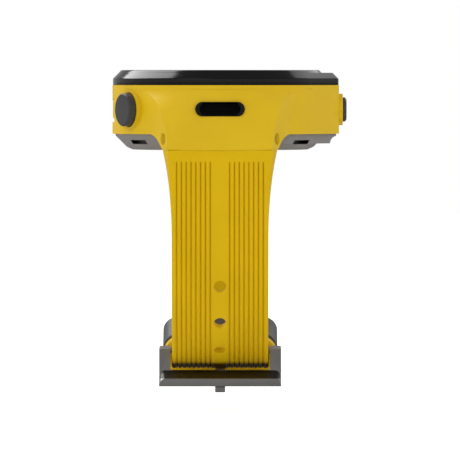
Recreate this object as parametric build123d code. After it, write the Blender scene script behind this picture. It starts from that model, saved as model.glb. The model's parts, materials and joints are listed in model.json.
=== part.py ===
from build123d import *
import math
import os

# Wrist-worn GPS unit. Millimetres. +Z is the way the screen faces, -Y is the six o'clock side.
# The origin is the middle of the wrist, which is also the centre of the strap's round bottom.

# Driving dimensions: case
seam_height = 35.0          # bezel seam above the wrist's middle
body_radius = 22.55
guard_overhang = 2.3        # how far the three o'clock guard stands out of the round body
guard_flat = 2.8            # half height of the guard's flat, along Y
guard_round = 2.0
case_height = 10.15
case_wall = 2.5
flange_height = 1.6
flange_lip = 1.2

# Bezel, lens and display
bezel_height = 3.15
shelf_height = 2.59
shelf_chamfer = 1.23
rim_inset = 1.3
rim_chamfer = 0.56
lens_radius = 17.9
lens_thickness = 1.7
gasket_thickness = 0.2
seat_width = 1.1
display_thickness = 1.7
antenna_groove = 1.2
antenna_width = 0.6

# Back cover
back_height = 3.3
back_inset = 0.6
back_slope = 2.4
back_round = 1.2
back_corner_rise = 0.54     # height of the corner between the pan's floor and its slope
back_band = 0.45            # upright band under the case's lower edge
spigot_height = 0.7         # of the cover's step inside the case
spigot_gap = 0.08
seal_groove = 0.5           # depth of the back gasket's groove
seal_low = 0.1
seal_high = 0.55
scoop_radius = 1.55
scoop_inset = 0.35
wing_height = 2.0
slit_height = 0.85
slit_top = 1.25             # below the case's lower edge
slit_depth = 4.3
window_radius = 8.5
window_bulge = 0.9
back_screw_circle = 16.2
screw_head_radius = 1.3
screw_head_height = 0.7
screw_shank_radius = 0.78
screw_hole_radius = 0.85
screw_socket_radius = 0.6
screw_socket_depth = 0.55

# Lugs and their pins
lug_drop = 13.4
lug_reach = 1.9             # of the lug's front face, out of the round body
lug_half_width = 10.8
flank_sink = 0.12           # of the flanks' ends, under the round body's wall
lug_pin_inset = 2.25        # of the pin's middle, behind the lug's front face
lug_pin_drop = 11.07
lug_pin_radius = 0.62
lug_barrel_radius = 1.15
lug_slot_half = 9.3
lug_screw_radius = 1.2
lug_screw_start = 10.35     # ends of each lug screw, along X
lug_screw_end = 11.0
lug_screw_slot = 0.25
lug_pin_half = 10.25
neck_front_inset = 1.45     # strap's neck between the barrel and the shoulders
neck_back_inset = 2.85
underside_sweep = 4.95      # start of the hollow under the lug, inside the round body
underside_middle_inset = 4.15
underside_end_inset = 3.05  # its end, behind the lug's front face
underside_root = 19.0       # height of the lug's root under the case
core_x = 7                  # corner of a lug's section inside the case
core_y = 11
flank_leave = 0.58          # shares of the flank's length that stay straight at its two ends
flank_arrive = 0.2

# Strap
strap_half = 10.0
strap_thickness = 2.2
strap_root_thickness = 2.9
strap_inset = 0.15          # of the strap's outer surface, behind the lug's front face
strap_root_half = 11.8
strap_layer_gap = 0.15
root_gap = 0.02             # between the lug's lower face and the strap's shoulder
strap_tail_angle = 60.0
strap_tip_round = 6.5
hole_radius = 1.25
hole_pitch = 20.1           # degrees round the strap
first_hole = 15.6
hole_count = 4              # free holes between the lug and the buckle
pinned_hole = 91.0          # the hole that the tang is through, in degrees
tail_holes = (110.0, 129.0)
channel_half = 2.3          # relief channel along the strap's inner face
channel_depth = 1.0
channel_turn = 48.0         # degrees of the bend that the channel follows
pinned_stretch = 1.4
root_narrowing = ((0.69, 2.7), (0.33, 6.4), (0.11, 10.6), (0.0, 18.6))     # share left, drop
root_thinning = (0.6, 5.0)  # where the root starts and ends getting thinner, below the lug

# Buckle, tang and keepers
buckle_half = 12.72
buckle_arm = 2.32
pivot_out = 1.4
pivot_inset = 3.6           # of the buckle pin, above the strap's outer surface
pivot_pin_radius = 0.6
strap_barrel_radius = 1.2
tang_half = 1.05
tang_thickness = 1.15
tang_eye_radius = 1.15
arm_back_radius = 1.05
arm_height = 4.3            # of the arms' tops, above the strap's outer surface
bar_gap = 0.1               # between the strap and the bar's top
bar_round = 1.3
bar_height = 3.32
bar_slope = 1.7             # drop of the bar's sloped face
bar_front = 10.0            # distances towards six o'clock
bar_back = 6.5
bar_top_front = 7.5
bar_top_back = 6.6
arm_foot = 5.2
arm_drop = 0.7              # of the arm's foot below the bar's top
pin_inset = 0.7             # of the buckle pin's ends, inside the arms
tang_gap = 0.1              # between the tang and the bar
tang_front = 9.7
keeper_width = 9.5          # degrees round the strap
keeper_start = 75.0
keeper_wall = 1.2
keeper_half = 11.9
keeper_corner = 3.4
slider_width = 21.7
slider_start = 49.3
slider_wall = 1.45
slider_half = 12.08
slider_corner = 3.8

# Buttons
button_drop = 5.1           # below the bezel seam
left_button_angle = 62.0    # from the six o'clock direction towards nine o'clock
left_button_shift = 2.0
left_button_stand = 0.05    # of the button's collar face, out of the round body
left_cap_radius = 3.45
left_collar_radius = 4.3
left_cap_stand = 1.55
left_cap_chamfer = 0.28
right_cap_stand = 0.8
right_cap_chamfer = 0.35
right_cap_radius = 2.55
right_collar_radius = 3.3
right_collar_stand = 0.8
button_travel = 0.6
key_half_width = 4.5
key_height = 3.4
key_inset = 0.08            # of the side key's face, behind the round body
key_notch = 0.55            # depth of the finger notch under the side key
key_notch_height = 0.8

pocket_depth = 2.2          # depths below a button's collar face
boss_inset = 1.4            # how far a button's boss stands into the cavity
stem_radius = 1.0
gland_radius = 1.5
gland_depth = 0.8
stem_end = 1.0              # stem beyond its boss
cap_under = 1.2
cap_skirt = 0.55
cap_core = 0.35
clip_groove = 0.5
clip_radius = 1.9
seal_wire = 0.22
spring_wire = 0.13
spring_length = 1.1
spring_turns = 2.5
switch_half = 1.7
switch_plunger = 0.55
key_depth = 1.3
key_stem = 4.2
key_guide = 2.2             # depth of the side key's slot
key_pad = 1.0               # wall round the side key's slot

# Fits
fit = 0.05                  # radial running clearance
gap = 0.15                  # clearance round parts that move past each other

# Charging socket
socket_drop = 4.92          # below the bezel seam
socket_width = 10.25
socket_tall = 3.0
shell_width = 8.94
shell_tall = 3.16
shell_wall = 0.3
socket_depth = 7.0
socket_step_out = 0.05      # of the step behind the rubber rim, out of the round body
socket_rim_inset = 0.15     # of the rim, behind the lug's front face
socket_mouth = (8.5, 2.56)
tongue_half_width = 3.35
tongue_half_tall = 0.35
tongue_inset = 0.4

# Inside. Plans are x0, x1, y0, y1; round pieces are radius, height, x, y.
board_drop = 3.4            # board's lower face below the seam
board_thickness = 0.8
board_margin = 2.8
board_notch = (5.2, 15.4)   # half width and start of the notch for the charging socket
carrier_wall = 2.1
battery_plan = (-11, 8, -10, 8)
battery_lift = 1.1
battery_height = 3.8
battery_round = 1.5
can_plan = (-7, 5, 3, 12)
can_height = 1.2
receiver_plan = (7, 11, 4, 8)
receiver_height = 1.0
motor_size = (3.6, 2.3, 12.2, 4)
buzzer_size = (3.2, 1.9, 4, 12)
pressure_size = (1.7, 1.4, -10, 9)
pulse_board_height = 0.55
pulse_eye_half = 0.9
pulse_eye_places = (-3.4, 0, 3.4)

body_bottom = seam_height - case_height
lug_front = body_radius + lug_reach
lug_pin_out = lug_front - lug_pin_inset
neck_front = lug_front - neck_front_inset
neck_back = lug_front - neck_back_inset
underside_start = body_radius - underside_sweep
underside_middle = lug_front - underside_middle_inset
underside_end = lug_front - underside_end_inset
strap_radius = lug_front - strap_inset      # outer surface of the front strap
pivot_drop = strap_radius - pivot_inset
arm_top = strap_radius - arm_height
bar_drop = strap_radius + bar_gap
socket_step = body_radius + socket_step_out
socket_front = lug_front - socket_rim_inset
tongue_front = socket_step - tongue_inset
guard_reach = body_radius + guard_overhang
rim_radius = body_radius - rim_inset
button_height = seam_height - button_drop
socket_height = seam_height - socket_drop
left_button_plane = body_radius + left_button_stand
back_bottom = body_bottom - back_height
cavity_radius = body_radius - case_wall
flange_radius = cavity_radius - flange_lip
lug_bottom = seam_height - lug_drop
lug_pin_height = seam_height - lug_pin_drop
inner_strap_radius = strap_radius - strap_thickness
rear_strap_radius = inner_strap_radius - strap_layer_gap
rear_centre = strap_radius - rear_strap_radius      # centre of the rear strap's bend, along Y

parts = {}


def ring(outer, inner, bottom, top, x=0, y=0):
    """Flat ring or tube along Z."""
    height = top - bottom
    solid = Cylinder(outer, height) - Cylinder(inner, height + 1)
    return Pos(x, y, bottom + height / 2) * solid


def disc(radius, bottom, top, x=0, y=0):
    return Pos(x, y, (bottom + top) / 2) * Cylinder(radius, top - bottom)


def block(x0, x1, y0, y1, z0, z1):
    centre = Pos((x0 + x1) / 2, (y0 + y1) / 2, (z0 + z1) / 2)
    return centre * Box(x1 - x0, y1 - y0, z1 - z0)


def rod(radius, x0, x1, y, z):
    """Cylinder along X."""
    return Pos((x0 + x1) / 2, y, z) * Rot(0, 90, 0) * Cylinder(radius, x1 - x0)


def side_shape(points, x0, x1):
    """Prism along X from (y, z) points."""
    face = Plane.YZ * Polygon(*points, align=None)
    return Pos(x0, 0, 0) * extrude(face, x1 - x0, dir=(1, 0, 0))


def bent(section, centre, start, turn):
    """Section in (x, radius) turned about an X axis at y = centre.

    Angles are measured down from the twelve o'clock direction; the turn goes towards it.
    """
    a = math.radians(start)
    plane = Plane(origin=(0, centre, 0), x_dir=(1, 0, 0), z_dir=(0, math.sin(a), math.cos(a)))
    return revolve(plane * section, Axis((0, centre, 0), (1, 0, 0)), turn)


def strip(half, inner, outer):
    """Rectangle section of a strap, in (x, radius)."""
    return Pos(0, (inner + outer) / 2) * Rectangle(2 * half, outer - inner)


def case_plan(shrink=0.0):
    """Round body with the tangent guard on its three o'clock side."""
    radius = body_radius - shrink
    corner = guard_reach - shrink - guard_round
    tangent = math.atan2(guard_flat, corner)
    turn = math.acos((radius - guard_round) / math.hypot(corner, guard_flat))
    a = tangent + turn
    wing = Polygon(
        (0, 0),
        (radius * math.cos(a), -radius * math.sin(a)),
        (corner + guard_round * math.cos(a), -guard_flat - guard_round * math.sin(a)),
        (corner + guard_round * math.cos(a), guard_flat + guard_round * math.sin(a)),
        (radius * math.cos(a), radius * math.sin(a)),
        align=None,
    )
    plan = Circle(radius) + wing
    for side in (-1, 1):
        plan += Pos(corner, side * guard_flat) * Circle(guard_round)
    plan += Pos(corner + guard_round / 2, 0) * Rectangle(guard_round, 2 * guard_flat)
    return plan


def lift(sketch, bottom, top):
    return Pos(0, 0, bottom) * extrude(sketch, top - bottom)


def pill(width, tall):
    """Flat-ended oval in the XZ plane, facing six o'clock."""
    return Plane.XZ * SlotOverall(width, tall)


def pill_rod(width, tall, y0, y1):
    """Oval bar along Y at the charging socket."""
    bar = extrude(pill(width, tall), y1 - y0, dir=(0, -1, 0))
    return Pos(0, y1, socket_height) * bar


def lug_section(drop, half, front, edge, flare, meet, grow):
    """Plan section of a lug: a bowed front and flanks that sweep back into the round body.

    The flank leaves the front at the flare angle and meets the body at the angle given from
    the middle of the lug. It stays straight for about half of its length.
    """
    lean = math.radians(flare)
    turn = math.radians(meet)
    inner = body_radius - flank_sink + grow
    length = math.hypot(inner * math.sin(turn) - half, inner * math.cos(turn) - edge)
    corner = Vector(half + grow, -edge - grow)
    end = Vector(inner * math.sin(turn), -inner * math.cos(turn))
    leave = corner + Vector(math.sin(lean), math.cos(lean)) * flank_leave * length
    arrive = end - Vector(math.cos(turn), math.sin(turn)) * flank_arrive * length
    bow = ThreePointArc((-corner.X, corner.Y), (0, -front - grow), corner)
    flank = Bezier(corner, leave, arrive, end)
    other = mirror(flank, Plane.YZ)
    back = Polyline(end, (core_x, -core_y), (-core_x, -core_y), (-end.X, end.Y))
    return Pos(0, 0, seam_height - drop) * make_face(Curve() + [bow, flank, back, other])


def circle_edge(x):
    """Distance of the round body's wall from the middle, at a place across it."""
    return math.sqrt(body_radius ** 2 - x ** 2)


def lug_blank(grow=0.0):
    """Six o'clock lug: its front sweeps out of the case wall and narrows to the strap.

    Each row is a section: its drop below the seam, its half width, the distances of its front
    and of its corner from the middle, and the angles where the flank leaves and arrives.
    """
    rows = (
        (0.75, 18.0, body_radius + 0.03, circle_edge(18.0), 46, 62),
        (1.5, 15.4, body_radius + 0.6, circle_edge(15.4) + 0.1, 38, 58),
        (2.7, 13.8, body_radius + 1.05, circle_edge(13.8) + 1.5, 30, 54),
        (4.4, 12.65, body_radius + 1.4, lug_front - 2.8, 25, 50),
        (6.9, 11.75, lug_front - 0.25, lug_front - 1.45, 22, 47),
        (10.1, 11.1, lug_front - 0.05, lug_front - 0.55, 20, 45),
        (lug_drop, lug_half_width, lug_front, lug_front - 0.35, 20, 43),
    )
    sections = [lug_section(*row, grow) for row in rows]
    start = (-underside_start, body_bottom)
    end = (-underside_end, lug_bottom)
    arc = ThreePointArc(start, (-underside_middle, (body_bottom + lug_bottom) / 2 - 0.1), end)
    rest = Polyline(end, (end[0], underside_root), (0, underside_root), (0, body_bottom), start)
    hollow = Plane.YZ * make_face(Curve() + [arc, rest])
    return loft(sections) - Pos(-30, grow, 0) * extrude(hollow, 60, dir=(1, 0, 0))


def lug_hollow():
    """Slot for the strap's barrel and the holes for the pin and its screws."""
    slot = rod(lug_barrel_radius + gap, -lug_slot_half, lug_slot_half, -lug_pin_out, lug_pin_height)
    half = lug_slot_half
    slot += block(-half, half, -neck_front - gap, -neck_back + gap, lug_bottom - 1, lug_pin_height)
    slot += rod(lug_pin_radius + fit, -14, 14, -lug_pin_out, lug_pin_height)
    head = rod(lug_screw_radius + fit, lug_screw_start - fit, 15.0, -lug_pin_out, lug_pin_height)
    return slot + head + mirror(head, Plane.YZ)


def place_left():
    a = math.radians(left_button_angle)
    out = (-math.sin(a), -math.cos(a))
    along = (math.cos(a), -math.sin(a))
    x = out[0] * left_button_plane + along[0] * left_button_shift
    y = out[1] * left_button_plane + along[1] * left_button_shift
    return Plane(origin=(x, y, button_height), x_dir=(-along[0], -along[1], 0), z_dir=(out[0], out[1], 0))


def place_right():
    x = guard_reach + right_collar_stand
    return Plane(origin=(x, 0, button_height), x_dir=(0, 1, 0), z_dir=(1, 0, 0))


def place_key():
    return Plane(origin=(-body_radius, 0, button_height), x_dir=(0, -1, 0), z_dir=(-1, 0, 0))


left_reach = left_button_plane - cavity_radius + boss_inset
right_reach = guard_reach + right_collar_stand - cavity_radius + boss_inset


def button_boss(collar_radius, reach):
    return disc(collar_radius, -reach, 0)


def button_hollow(cap_radius, reach):
    """Pocket, seal gland and stem bore of a button."""
    hollow = disc(cap_radius + gap, -pocket_depth, 1)
    hollow += disc(gland_radius, -pocket_depth - gland_depth, -pocket_depth + 0.1)
    hollow += disc(stem_radius + fit, -reach - 1, 0)
    return hollow


def button_cap(cap_radius, reach, stand, chamfer_size):
    """Round cap with a spring groove underneath and a stem with a clip groove."""
    cap = disc(cap_radius, -cap_under, stand)
    cap = chamfer(cap.edges().filter_by(GeomType.CIRCLE).sort_by(Axis.Z)[-1], chamfer_size)
    cap -= ring(cap_radius - cap_skirt, stem_radius + cap_core, -cap_under - 1, -cap_under + spring_length)
    cap += disc(stem_radius, -reach - stem_end, 0)
    cap -= ring(stem_radius + 1, stem_radius - 0.2, -reach - 0.1 - clip_groove, -reach - 0.1)
    return cap


def coil_spring(radius, wire, bottom, height, turns):
    path = Helix(pitch=height / turns, height=height, radius=radius)
    start = Plane(origin=path @ 0, z_dir=path % 0)
    return Pos(0, 0, bottom) * sweep(start * Circle(wire), path=path, is_frenet=True)


def stem_clip(reach):
    """Open retaining clip in the stem's groove."""
    low = -reach - 0.05 - clip_groove
    clip = ring(clip_radius, stem_radius - 0.17, low, low + clip_groove - 0.1)
    return clip - block(0, 3, -0.6, 0.6, low - 1, low + 2)


def add_button(name, plane, cap_radius, reach, stand, chamfer_size):
    parts[name + "_cap"] = plane * button_cap(cap_radius, reach, stand, chamfer_size)
    seal = Torus((gland_radius + stem_radius) / 2, seal_wire)
    parts[name + "_seal"] = plane * Pos(0, 0, -pocket_depth - gland_depth + 0.3) * seal
    coil_radius = (cap_radius - cap_skirt + stem_radius + cap_core) / 2
    low = -cap_under - 0.15
    parts[name + "_spring"] = plane * coil_spring(coil_radius, spring_wire, low, spring_length, spring_turns)
    parts[name + "_clip"] = plane * stem_clip(reach)
    front = -reach - stem_end - button_travel - 0.25
    body = block(-switch_half, switch_half, -1.5, 1.6, front - 1.7, front - 0.4)
    parts[name + "_switch"] = plane * (body + disc(switch_plunger, front - 0.5, front))


def make_case():
    """Case shell with both lugs, button bosses, socket opening and screw posts."""
    shell = lift(case_plan(), body_bottom, seam_height)
    blank = lug_blank() + shell
    blank += mirror(lug_blank(), Plane.XZ)
    blank -= disc(cavity_radius, body_bottom - 1, seam_height - flange_height)
    blank -= disc(flange_radius, body_bottom, seam_height + 1)
    left = place_left()
    right = place_right()
    blank += left * button_boss(left_collar_radius, left_reach)
    blank += right * button_boss(right_collar_radius, right_reach)
    blank -= left * button_hollow(left_cap_radius, left_reach)
    blank -= right * button_hollow(right_cap_radius, right_reach)
    key = place_key()
    pad = extrude(RectangleRounded(2 * (key_half_width + key_pad), key_height + 2 * key_pad, 1.0), -key_stem)
    blank += key * pad & disc(body_radius, body_bottom, seam_height)
    slot = extrude(SlotOverall(2 * key_half_width + 2 * gap, key_height + 2 * gap), -key_guide)
    blank -= key * (slot + Pos(0, 0, 2) * slot)
    blank -= key * disc(stem_radius + fit, -6, 0)
    notch_top = button_height - key_height / 2 - gap
    notch_bottom = notch_top - key_notch_height
    notch = block(-body_radius - 1, 0, -key_half_width, key_half_width, notch_bottom, notch_top)
    blank -= notch - disc(body_radius - key_notch, body_bottom, seam_height)
    blank -= lug_hollow()
    blank -= mirror(lug_hollow(), Plane.XZ)
    blank -= pill_rod(socket_width, socket_tall, -30, -socket_step)
    blank -= pill_rod(shell_width + 0.1, shell_tall + 0.1, -23, -15)
    return blank


def face_of(line):
    return Face(Wire(line.edges()))


def screw_places():
    for quarter in range(4):
        a = math.radians(45 + 90 * quarter)
        yield back_screw_circle * math.cos(a), back_screw_circle * math.sin(a)


def make_back():
    """Grey back cover: sloped round pan, scooped guard piece, side slots and screw holes."""
    top_radius = body_radius - back_inset
    profile = Polyline(
        (0, back_bottom),
        (top_radius - back_slope - back_round, back_bottom),
        (top_radius - back_slope, back_bottom + back_corner_rise),
        (top_radius - 0.1, body_bottom - back_band),
        (top_radius, body_bottom),
        (0, body_bottom),
        (0, back_bottom),
    )
    pan = revolve(Plane.XZ * face_of(profile), Axis.Z)
    low = body_bottom - wing_height
    wing = lift(case_plan(back_inset), low, body_bottom) & block(10, 30, -20, 20, back_bottom, seam_height)
    scoop = Pos(guard_reach - scoop_inset, 0, low) * Rot(90, 0, 0) * Cylinder(scoop_radius, 60)
    pan += wing - scoop
    pan += disc(cavity_radius - spigot_gap, body_bottom - 0.5, body_bottom + spigot_height)
    pan -= ring(cavity_radius, cavity_radius - seal_groove, body_bottom + seal_low, body_bottom + seal_high)
    pan -= disc(cavity_radius - 5.2, body_bottom - 1.9, body_bottom + 2)
    pan -= disc(window_radius + fit, back_bottom - 1, body_bottom)
    for side in (-1, 1):
        high = body_bottom - slit_top
        low = high - slit_height
        slit = Polyline((18.6, high), (15.5, high), (15.0, low), (18.1, low), (18.6, high))
        bar = extrude(Plane.XZ * face_of(slit), 30, dir=(0, -1, 0))
        bar -= disc(body_radius - slit_depth, back_bottom, seam_height)
        pan -= bar if side > 0 else mirror(bar, Plane.YZ)
    pan -= lug_blank(0.08)
    pan -= mirror(lug_blank(0.08), Plane.XZ)
    for x, y in screw_places():
        pan -= disc(screw_head_radius + fit, back_bottom - 1, back_bottom + screw_head_height, x, y)
        pan -= disc(screw_hole_radius, back_bottom - 1, body_bottom + 2, x, y)
    return pan


def make_bezel():
    """Black bezel: shelf over the guard, raised round rim, lens seat and antenna groove."""
    shelf = lift(case_plan(0.1), seam_height, seam_height + shelf_height)
    shelf = chamfer(shelf.faces().sort_by(Axis.Z)[-1].edges(), shelf_chamfer)
    rim = disc(rim_radius, seam_height, seam_height + bezel_height)
    rim = chamfer(rim.edges().sort_by(Axis.Z)[-1], rim_chamfer)
    bezel = shelf + rim
    seat = seam_height + bezel_height - lens_thickness - gasket_thickness
    bezel -= disc(lens_radius + gap / 2, seat, seam_height + bezel_height + 1)
    bezel -= disc(lens_radius - seat_width, seam_height - 1, seam_height + bezel_height)
    inner = cavity_radius - antenna_width
    groove = ring(cavity_radius, inner, seam_height - 1, seam_height + antenna_groove)
    return bezel - groove


def make_face_parts():
    """Lens, its gasket, the display under it and the antenna strip in the bezel."""
    top = seam_height + bezel_height
    under = top - lens_thickness
    parts["display_lens"] = disc(lens_radius, under, top)
    gasket = ring(lens_radius - 0.05, lens_radius - seat_width + 0.05, under - gasket_thickness, under)
    parts["lens_gasket"] = gasket
    display_radius = lens_radius - seat_width - gap
    parts["display_module"] = disc(display_radius, under - 0.05 - display_thickness, under - 0.05)
    inner = cavity_radius - antenna_width + 0.08
    antenna = ring(cavity_radius - 0.08, inner, seam_height, seam_height + antenna_groove - 0.1)
    parts["gps_antenna"] = antenna - block(-3, 3, 15, 25, seam_height - 1, seam_height + 2)


def make_inside():
    """Carrier, board, battery, motor, buzzer, sensors and the charging socket."""
    board_radius = cavity_radius - board_margin
    board_bottom = seam_height - board_drop
    board_top = board_bottom + board_thickness
    floor = body_bottom + battery_lift
    carrier = disc(flange_radius - 0.4, board_top + 0.5, seam_height - 0.5)
    carrier -= disc(flange_radius - 0.4 - carrier_wall, board_top, seam_height - flange_height)
    carrier += ring(flange_radius - 0.6, flange_radius - 2.2, board_top, board_top + 0.6)
    parts["inner_carrier"] = carrier
    half, start = board_notch
    notch = block(-half, half, -board_radius - 1, -start, board_bottom - 1, board_top + 1)
    parts["main_board"] = disc(board_radius, board_bottom, board_top) - notch
    parts["shield_can"] = block(*can_plan, board_bottom - can_height, board_bottom)
    parts["gps_receiver"] = block(*receiver_plan, board_bottom - receiver_height, board_bottom)
    battery = block(*battery_plan, floor, floor + battery_height)
    parts["battery"] = fillet(battery.edges().filter_by(Axis.Z), battery_round)
    for label, size in (("vibration_motor", motor_size), ("buzzer", buzzer_size)):
        radius, height, x, y = size
        parts[label] = disc(radius, floor, floor + height, x, y)
    radius, height, x, y = pressure_size
    parts["pressure_sensor"] = disc(radius, board_bottom - height, board_bottom, x, y)
    window = disc(window_radius, back_bottom - 0.1, back_bottom + 1.0)
    ball = (window_radius ** 2 + window_bulge ** 2) / (2 * window_bulge)
    dome = Pos(0, 0, back_bottom - 0.1 - window_bulge + ball) * Sphere(ball)
    window += dome & disc(window_radius, back_bottom - 3, back_bottom)
    parts["sensor_window"] = window
    low = back_bottom + 1.05
    top = low + pulse_board_height
    sensor = disc(window_radius - 0.5, low, top)
    half = pulse_eye_half
    for x in pulse_eye_places:
        sensor += block(x - half, x + half, -half, half, top - 0.1, top + 0.5)
    parts["pulse_sensor_board"] = sensor
    low = body_bottom + seal_low + 0.02
    high = body_bottom + seal_high - 0.02
    back_seal = ring(cavity_radius - 0.02, cavity_radius - seal_groove, low, high)
    parts["back_gasket"] = back_seal
    screws = []
    for x, y in screw_places():
        screw = disc(screw_head_radius, back_bottom + 0.1, back_bottom + screw_head_height, x, y)
        screw += disc(screw_shank_radius, back_bottom + 0.2, body_bottom + 0.6, x, y)
        screw -= Pos(x, y, back_bottom) * extrude(RegularPolygon(screw_socket_radius, 6), screw_socket_depth)
        screws.append(screw)
    parts["back_screws"] = Compound(screws)


def make_socket():
    """Rubber rim, metal shell and contact tongue of the charging socket."""
    rim = pill_rod(socket_width - 0.04, socket_tall - 0.04, -socket_front, -socket_step - 0.02)
    rim -= pill_rod(*socket_mouth, -30, -20)
    parts["socket_rim"] = rim
    shell = pill_rod(shell_width, shell_tall, -socket_step, -socket_step + socket_depth)
    y_back = -socket_step + socket_depth - 0.4
    shell -= pill_rod(shell_width - 2 * shell_wall, shell_tall - 2 * shell_wall, -30, y_back)
    parts["socket_shell"] = shell
    low = socket_height - tongue_half_tall
    high = socket_height + tongue_half_tall
    tongue = block(-tongue_half_width, tongue_half_width, -tongue_front, y_back, low, high)
    parts["socket_tongue"] = tongue


def lug_hardware():
    """Pin through each lug with a screw closing each end."""
    for name, side in (("front", -1), ("rear", 1)):
        y = side * lug_pin_out
        parts[name + "_lug_pin"] = rod(lug_pin_radius, -lug_pin_half, lug_pin_half, y, lug_pin_height)
        screws = []
        for hand in (-1, 1):
            head = rod(lug_screw_radius, lug_screw_start, lug_screw_end, y, lug_pin_height)
            head -= block(lug_screw_end - lug_screw_slot, 12, y - 0.2, y + 0.2, lug_bottom, seam_height)
            screws.append(head if hand > 0 else mirror(head, Plane.YZ))
        parts[name + "_lug_screws"] = Compound(screws)


def strap_root():
    """Upper end of the front strap: barrel in the lug, wide shoulders, narrowing to the strap."""
    top = lug_bottom - root_gap
    shoulder = strap_root_half - strap_half
    edge = Spline(
        (strap_root_half, top),
        *[(strap_half + share * shoulder, top - drop) for share, drop in root_narrowing],
        tangents=((-0.24, -1), (0, -1)),
    )
    low = Line((strap_half, top - root_narrowing[-1][1]), (strap_half, 0))
    rest = Polyline((strap_half, 0), (0, 0), (0, top), (strap_root_half, top))
    half = face_of(Curve() + [edge, low, rest])
    plan = Plane.XZ * half
    blade = Pos(0, -strap_radius, 0) * extrude(plan, strap_root_thickness, dir=(0, 1, 0))
    blade += mirror(blade, Plane.YZ)
    inner = -strap_radius + strap_thickness
    thick = inner + strap_root_thickness - strap_thickness
    thin_start, thin_end = root_thinning
    relief = [(inner, -1), (inner, top - thin_end), (thick - 0.05, top - thin_start)]
    relief += [(thick, top + 1), (thick + 5, top + 1), (thick + 5, -1)]
    blade -= side_shape(relief, -20, 20)
    reach = lug_slot_half - gap
    neck = block(-reach, reach, -neck_front, -neck_back, top - 0.5, lug_pin_height)
    barrel = rod(lug_barrel_radius, -reach, reach, -lug_pin_out, lug_pin_height)
    blade += neck + barrel
    return blade - rod(lug_pin_radius + fit, -20, 20, -lug_pin_out, lug_pin_height)


def strap_holes():
    """Round adjusting holes; the one in use is pulled longer by the tang."""
    free = [first_hole + hole_pitch * number for number in range(hole_count)]
    holes = []
    for angle in (*free, *tail_holes, pinned_hole):
        centre = 0 if angle <= pinned_hole else rear_centre
        peg = Cylinder(hole_radius, 8)
        if angle == pinned_hole:
            slot = SlotOverall(2 * hole_radius + pinned_stretch, 2 * hole_radius)
            peg = Rot(0, 0, 90) * extrude(slot, 4, both=True)
        holes.append(Pos(0, centre, 0) * Rot(angle - 90, 0, 0) * Pos(0, 0, -strap_radius) * peg)
    return holes


def make_front_strap():
    """Long strap: root, quarter bend, short flat and the tail outside the rear strap."""
    section = strip(strap_half, inner_strap_radius, strap_radius)
    strap = strap_root()
    strap += bent(section, 0, 180, 90)
    strap += block(-strap_half, strap_half, 0, rear_centre, -strap_radius, -inner_strap_radius)
    tail = bent(section, rear_centre, 90, strap_tail_angle)
    end = 90 - strap_tail_angle
    tip_edges = tail.edges().filter_by(GeomType.LINE).filter_by(lambda e: abs(e.tangent_at(0).X) < 0.5)
    tip_edges = tip_edges.group_by(Axis.Z)[-1] if tip_edges else tip_edges
    tail = fillet(tip_edges, strap_tip_round)
    strap += tail
    channel = strip(channel_half, inner_strap_radius - 1, inner_strap_radius + channel_depth)
    strap -= bent(channel, 0, 180, channel_turn)
    for hole in strap_holes():
        strap -= hole
    return strap


def make_rear_strap():
    """Short strap: root in the rear lug, bend, and a barrel round the buckle pin."""
    section = strip(strap_half, rear_strap_radius - strap_thickness, rear_strap_radius)
    strap = mirror(strap_root(), Plane.XZ)
    strap += bent(section, rear_centre, 90, 90)
    inner = rear_strap_radius - strap_thickness
    strap += block(-strap_half, strap_half, pivot_out, rear_centre, -rear_strap_radius, -inner)
    strap += rod(strap_barrel_radius, -strap_half, strap_half, pivot_out, -pivot_drop)
    strap -= rod(pivot_pin_radius + fit, -20, 20, pivot_out, -pivot_drop)
    relief = tang_eye_radius + 0.35
    half = tang_half + gap
    notch = rod(relief, -half, half, pivot_out, -pivot_drop)
    notch += block(-half, half, pivot_out - 3, pivot_out, -strap_radius, -pivot_drop + 3)
    return strap - notch


def keeper(outer_half, wall, corner, start, width):
    """Closed band round both straps with rounded outer corners."""
    inner = rear_strap_radius - strap_thickness - gap
    outer = strap_radius + gap
    middle = (inner + outer) / 2
    band = RectangleRounded(2 * outer_half, outer - inner + 2 * wall, corner)
    hole = RectangleRounded(2 * (strap_half + gap), outer - inner, 0.3)
    section = Pos(0, middle) * (band - hole)
    return bent(section, rear_centre, start + width, width)


def make_buckle():
    """Buckle frame: two tall arms on the pin and a front bar under the strap."""
    inner_x = buckle_half - buckle_arm
    elbow = -bar_drop - arm_drop
    outline = [(-bar_top_front, -arm_top), (pivot_out, -pivot_drop + arm_back_radius)]
    outline += [(pivot_out, -pivot_drop - arm_back_radius), (-arm_foot, elbow), (-bar_top_front, elbow)]
    arm = side_shape(outline, inner_x, buckle_half)
    arm += rod(arm_back_radius, inner_x, buckle_half, pivot_out, -pivot_drop)
    arm -= rod(pivot_pin_radius + fit, inner_x - 1, buckle_half - pin_inset + 0.1, pivot_out, -pivot_drop)
    front = -bar_drop - bar_slope
    low = -bar_drop - bar_height
    section = [(-bar_top_front, -bar_drop), (-bar_front, front), (-bar_front, low)]
    section += [(-bar_back, low), (-arm_foot, elbow), (-bar_top_back, -bar_drop)]
    bar = side_shape(section, -buckle_half, buckle_half)
    across = bar.edges().filter_by(lambda e: abs(e.tangent_at(0).X) < 0.1)
    slopes = across.filter_by(lambda e: front < e.center().Z < -bar_drop - 0.6)
    ends = slopes.filter_by(lambda e: e.center().Y < -8)
    bar = fillet(ends, bar_round)
    return bar + arm + mirror(arm, Plane.YZ)


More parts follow.
